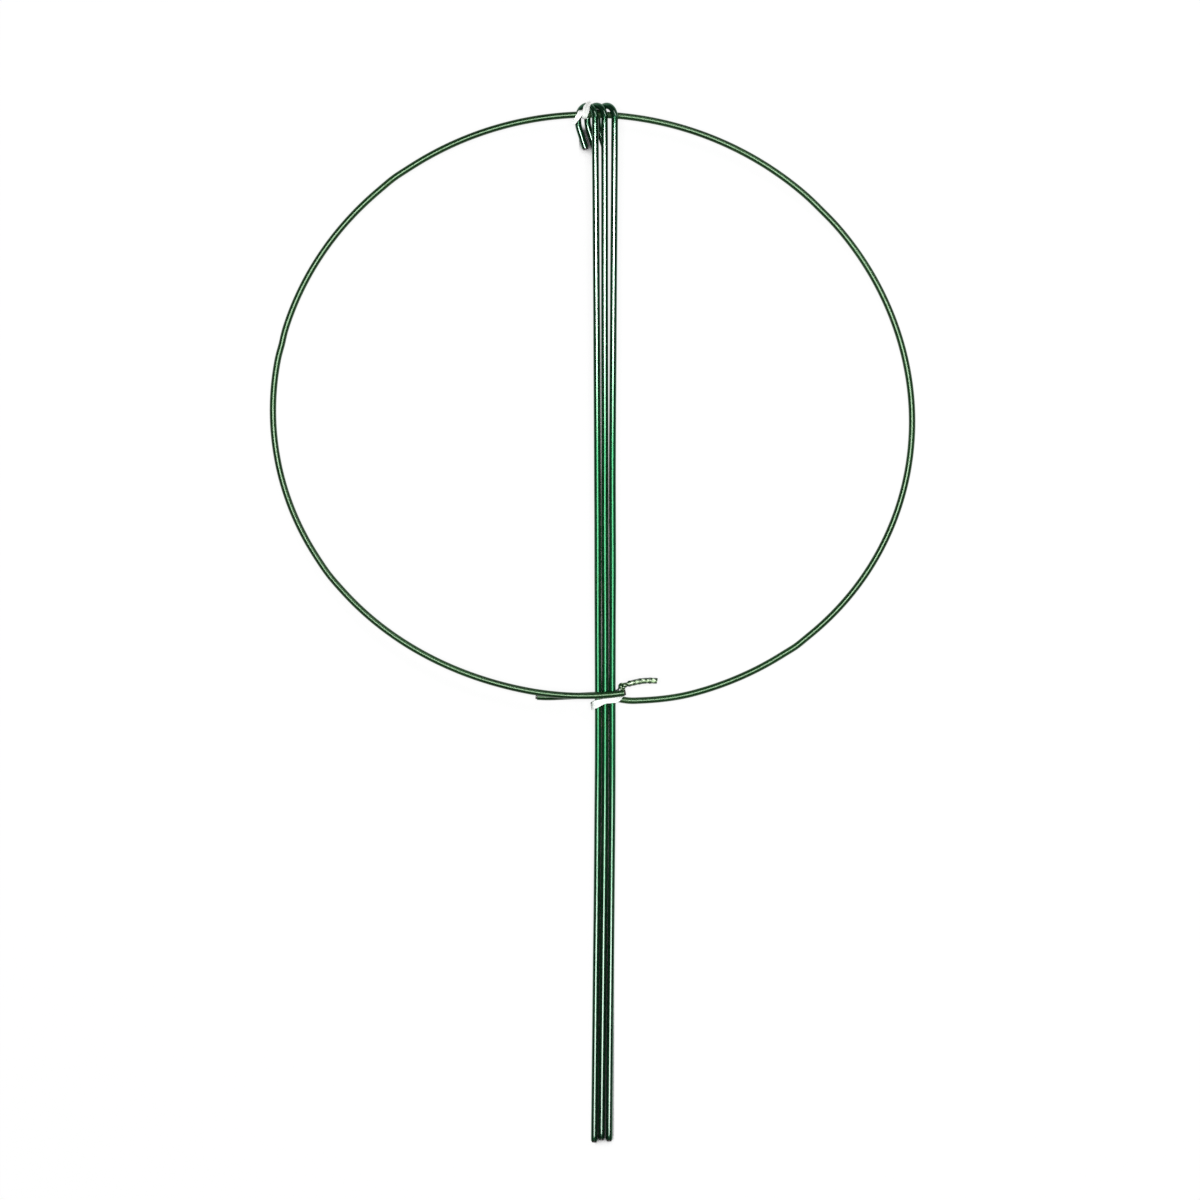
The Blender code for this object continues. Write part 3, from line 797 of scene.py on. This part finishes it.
ribbon = {
    "white": rgb(0.93, 0.95, 0.92),
    "mint": rgb(0.80, 0.90, 0.83),
    "warm": rgb(0.93, 0.89, 0.85),
    "green": rgb(0.030, 0.135, 0.030),
    "deepGreen": rgb(0.010, 0.055, 0.014),
    "paleGreen": rgb(0.30, 0.50, 0.26),
    # painted highlight and painted shade for the twisted tail
    "tailHighlightPale": rgb(0.55, 0.78, 0.45),
    "tailShadeDark": rgb(0.006, 0.035, 0.008),
    "fine": (300, 90, 1), "wear": (700, 30, 1),
    "mintScale": 160, "warmScale": 300, "greenScale": 240, "tailScale": 420,
    "relief": 0.00002,
}


def paintedTailLight(s, colour, run, tails):
    # in the twisted tail and beside it both faces are green: painted shade makes them near black on the
    # rope's sides and in its folds, and a painted highlight makes them pale along the top of the rope
    if not tails:
        return colour
    along = s.add("ShaderNodeSeparateXYZ", None, {0: run})
    twisted = along.maths("LESS_THAN", along, tails[0]) + along.maths("GREATER_THAN", along, tails[1])
    up = s.add("ShaderNodeSeparateXYZ", None, {0: s.add("ShaderNodeNewGeometry", output=1)}, 2)
    patch = s.noise(s.place(), ribbon["tailScale"], 2)
    # painted highlight where the faces look up, broken by noise; the rest of the tail takes the painted shade
    rubbedAndHighlit = s.ramp(up * 0.7 + patch * 0.3, (0.75, 0), (0.84, 1))
    return s.mix(colour, s.mix(ribbon["tailShadeDark"], ribbon["tailHighlightPale"], rubbedAndHighlit), twisted)


def ribbonWhite(name, tails):
    s = Shader(name, {})
    place, run = s.place(), s.run()
    fine = s.noise(s.stretch(run, ribbon["fine"]), 1.0, 3)
    mint = s.ramp(s.noise(place, ribbon["mintScale"], 2), (0.42, 0), (0.64, 1))
    warm = s.ramp(s.noise(place, ribbon["warmScale"], 2), (0.55, 0), (0.70, 1))
    colour = s.mix(ribbon["white"], ribbon["mint"], mint * 0.45)
    colour = s.mix(colour, ribbon["warm"], warm * 0.4)
    return s.paint(Base_Color=paintedTailLight(s, colour, run, tails), Roughness=fine * 0.15 + 0.30,
                   Normal=s.bump(fine, ribbon["relief"]))


def ribbonGreen(name, tails):
    s = Shader(name, {"Coat Weight": 0.8, "Coat Roughness": 0.2, "Coat IOR": 1.7})
    place, run = s.place(), s.run()
    fine = s.noise(s.stretch(run, ribbon["fine"]), 1.0, 3)
    worn = s.ramp(s.noise(s.stretch(run, ribbon["wear"]), 1.0, 3, 0.6), (0.60, 0), (0.74, 1))
    patch = s.ramp(s.noise(place, ribbon["greenScale"], 3), (0.38, 0), (0.62, 1))
    colour = s.mix(ribbon["deepGreen"], ribbon["green"], patch)
    colour = s.mix(colour, ribbon["paleGreen"], worn * 0.35)
    return s.paint(Base_Color=paintedTailLight(s, colour, run, tails), Roughness=fine * 0.2 + 0.22,
                   Normal=s.bump(fine + worn, ribbon["relief"]))


# the pieces

hoopRun = Run(hoopRoute(), [upward] * (hoop["steps"] + 1))
atHooks = hoopRun.travelled[round(hoop["steps"] * (topTurn - hoop["start"]) / hoop["span"])]
hoopDull = [(atHooks + far, level) for far, level in ((-0.017, 0), (-0.013, 1), (0.004, 1), (0.008, 0))]
hoopTint = (1.4, 1.0, 0.7)      # yellower than the stakes
hoopGreen = coatingMaterial("hoopGreen", finishes["hoop"], hoopTint, hoopDull)
hoopSteel = steelMaterial("hoopSteel")
addPiece("hoopCoating", coatingMesh("hoopCoating", hoopRun, 1), [hoopGreen],
         "hoop", "hoop_coating")
addPiece("hoopCore", coreMesh("hoopCore", hoopRun, 1), [hoopSteel], "hoop", "hoop_core")
print("hoop: %.0f mm of wire" % (hoopRun.travelled[-1] * 1000))

stakeTints = ((1.0, 1.0, 1.0), (0.88, 0.84, 0.86), (1.15, 1.04, 1.2))
stakeDull = ((0.14, 0), (0.22, 1), (0.40, 1), (0.46, 0))      # metres from the foot, and how dull
for index in range(stake["count"]):
    number = str(index + 1)
    body = "stake_" + number
    route = stakeRoute(index)
    stakeRun = Run(route, [hookFront] * len(route))
    coat = coatingMesh(body, stakeRun, index + 5, stake["snugFrom"], stake["snugTo"])
    stakeGreen = coatingMaterial("stakeGreen" + number, finishes["stake"], stakeTints[index], stakeDull)
    addPiece("stakeCoating" + number, coat, [stakeGreen], body, body + "_coating")
    core = coreMesh(body + "Core", stakeRun, index + 5)
    stakeSteel = steelMaterial("stakeSteel" + number)
    addPiece("stakeCore" + number, core, [stakeSteel], body, body + "_core")
    print("stake %s: %.0f mm of wire" % (number, stakeRun.travelled[-1] * 1000))

tieSteel = steelMaterial("tieSteel")
for name, node, controls, tail, pinch, seed in (
    ("lowerTie", "lower_tie", lowerTieRun(), tie["tail"], 0, 8),
    ("topTie", "top_tie", topTieRun(), 0, tie["pinch"], 6),
):
    tieRun = Run(*zip(*controls), tail)
    length = tieRun.travelled[-1]
    tails = None
    if tail:       # how far along its two green ends reach
        tails = (tail + tie["greenLead"][0], length - tail - tie["greenLead"][1])
    band = ribbonMesh(name, tieRun, seed, pinch)
    faces = [ribbonWhite(name + "White", tails), ribbonGreen(name + "Green", tails)]
    addPiece(name + "Ribbon", band, faces, "hoop", node + "_ribbon")
    tieWire = tieWireMesh(name + "Wire", tieRun)
    addPiece(name + "Wire", tieWire, [tieSteel], "hoop", node + "_wire")
    print("%s: %.0f mm of ribbon" % (name, length * 1000))

# floor, lights and camera

photo = {
    "pixels": 1200,
    "metresPerPixel": 0.00057637,
    "hoopCentre": (591.17, 410.1),       # the hoop's middle in the photograph
    "distance": 2.6,
    "focusHeight": 0.008,
    "sensor": 36, "farthest": 50,
}

studio = {
    "floorSize": 8.0, "floorDrop": 0.0003,
    "floorGlow": 0.85,
    "paper": rgb(0.93, 0.93, 0.93), "palerPaper": rgb(0.95, 0.95, 0.95),
    "shade": rgb(0.10, 0.10, 0.10), "shadeReach": 0.0135,
    # narrow gaps over the floor, between the stakes and between two hooks' legs, where the floor is given
    # painted shade: middle, half width, start, end and the length over which its shade fades there
    "gaps": ((0.0045, 0.0032, -1.0, 0.21, 0.06), (0.0101, 0.0024, -1.0, 0.13, 0.06),
             (-0.0037, 0.0042, 0.264, 0.288, 0.004)),
    "world": 0.03,
    # three strips overhead lay the stretches of highlight on the stakes, and one at the far right
    # lights the outer side of the hoop's top and the inner side of its lower left
    "lamps": {
        "far": {"place": (0.0, 0.36, 3.0), "size": (2.0, 0.24), "power": 40},
        "middle": {"place": (0.0, -0.10, 3.0), "size": (2.0, 0.64), "power": 41},
        "near": {"place": (0.0, -0.64, 3.0), "size": (2.0, 0.32), "power": 14},
        "side": {"place": (1.3, 2.0, 2.6), "size": (3.0, 0.5), "power": 24},
    },
}


def addFloor():
    size = studio["floorSize"]
    mesh = bpy.data.meshes.new("floor")
    corners = [(-size, -size), (size, -size), (size, size), (-size, size)]
    mesh.from_pydata([(x, y, -studio["floorDrop"]) for x, y in corners], [], [(0, 1, 2, 3)])
    floor = bpy.data.objects.new("floor", mesh)
    bpy.context.scene.collection.objects.link(floor)
    s = Shader("floorPaper", {"Roughness": 0.9, "Specular IOR Level": 0.1})
    grain = s.noise(s.place(), 40, 2)
    # painted shade: in fixed strips under the narrow gaps, where hardly any light gets to the floor, its
    # colour is darkened and its glow taken out
    across, along = (s.add("ShaderNodeSeparateXYZ", None, {0: s.place()}, axis) for axis in (0, 1))
    covered = 0
    for middle, half, start, end, fade in studio["gaps"]:
        aside = across - middle
        near = aside.maths("LESS_THAN", aside.maths("ABSOLUTE", aside, 0), half)
        near = near * along.maths("GREATER_THAN", along, start)
        covered = near * s.ramp((end - along) * (0.5 / fade), (0, 0), (0.5, 1)) + covered
    openness = s.add("ShaderNodeAmbientOcclusion", {"samples": 6}, {"Distance": studio["shadeReach"]}, 1)
    paintedGapShade = s.ramp(openness, (0.60, 1), (0.72, 0)) * covered
    paper = s.mix(studio["paper"], studio["palerPaper"], grain)
    s.paint(Base_Color=s.mix(paper, studio["shade"], paintedGapShade))
    # white to the camera and in reflections, dim to diffuse rays, so it throws no light on the object
    cameraRay, glossyRay, transmissionRay = (s.add("ShaderNodeLightPath", output=ray) for ray in (0, 3, 6))
    seen = cameraRay + glossyRay + transmissionRay
    glow = s.add("ShaderNodeEmission", None, {"Color": rgb(1, 1, 1), "Strength": 1.0})
    dim = s.add("ShaderNodeBsdfDiffuse", None, {"Color": studio["shade"]})
    share = (1 - paintedGapShade) * studio["floorGlow"]
    pale = s.add("ShaderNodeMixShader", None, {0: share, 1: Link(s, s.surface.outputs[0]), 2: glow})
    floorLook = s.add("ShaderNodeMixShader", None, {0: seen, 1: dim, 2: pale})
    s.tree.links.new(floorLook.socket, s.tree.nodes["Material Output"].inputs["Surface"])
    mesh.materials.append(s.material)


def addLight(name, spec):
    lamp = bpy.data.lights.new(name, "AREA")
    lamp.shape = "RECTANGLE"
    lamp.size, lamp.size_y = spec["size"]
    lamp.energy = spec["power"]
    holder = bpy.data.objects.new(name, lamp)
    bpy.context.scene.collection.objects.link(holder)
    holder.location = spec["place"]
    aim = Vector() - Vector(spec["place"])      # at the origin
    holder.rotation_euler = aim.to_track_quat("-Z", "Y").to_euler()


def addCamera():
    half = photo["pixels"] / 2
    lens = bpy.data.cameras.new("camera")
    view = bpy.data.objects.new("camera", lens)
    bpy.context.scene.collection.objects.link(view)
    bpy.context.scene.camera = view
    across = (half - photo["hoopCentre"][0]) * photo["metresPerPixel"] + shift.x
    along = (photo["hoopCentre"][1] - half) * photo["metresPerPixel"] + shift.y
    view.location = (across, along, photo["focusHeight"] + photo["distance"])
    lens.sensor_width = photo["sensor"]
    lens.lens = photo["sensor"] * photo["distance"] / (photo["pixels"] * photo["metresPerPixel"])
    lens.clip_end = photo["farthest"]


addFloor()
for name, lamp in studio["lamps"].items():
    addLight(name + "Lamp", lamp)
addCamera()

scene = bpy.context.scene
scene.world = bpy.data.worlds.new("studio")
scene.world.use_nodes = True
sky = scene.world.node_tree.nodes["Background"]
sky.inputs["Color"].default_value = rgb(1, 1, 1)
sky.inputs["Strength"].default_value = studio["world"]
scene.view_settings.view_transform = "Standard"
print("floor, lights and camera")
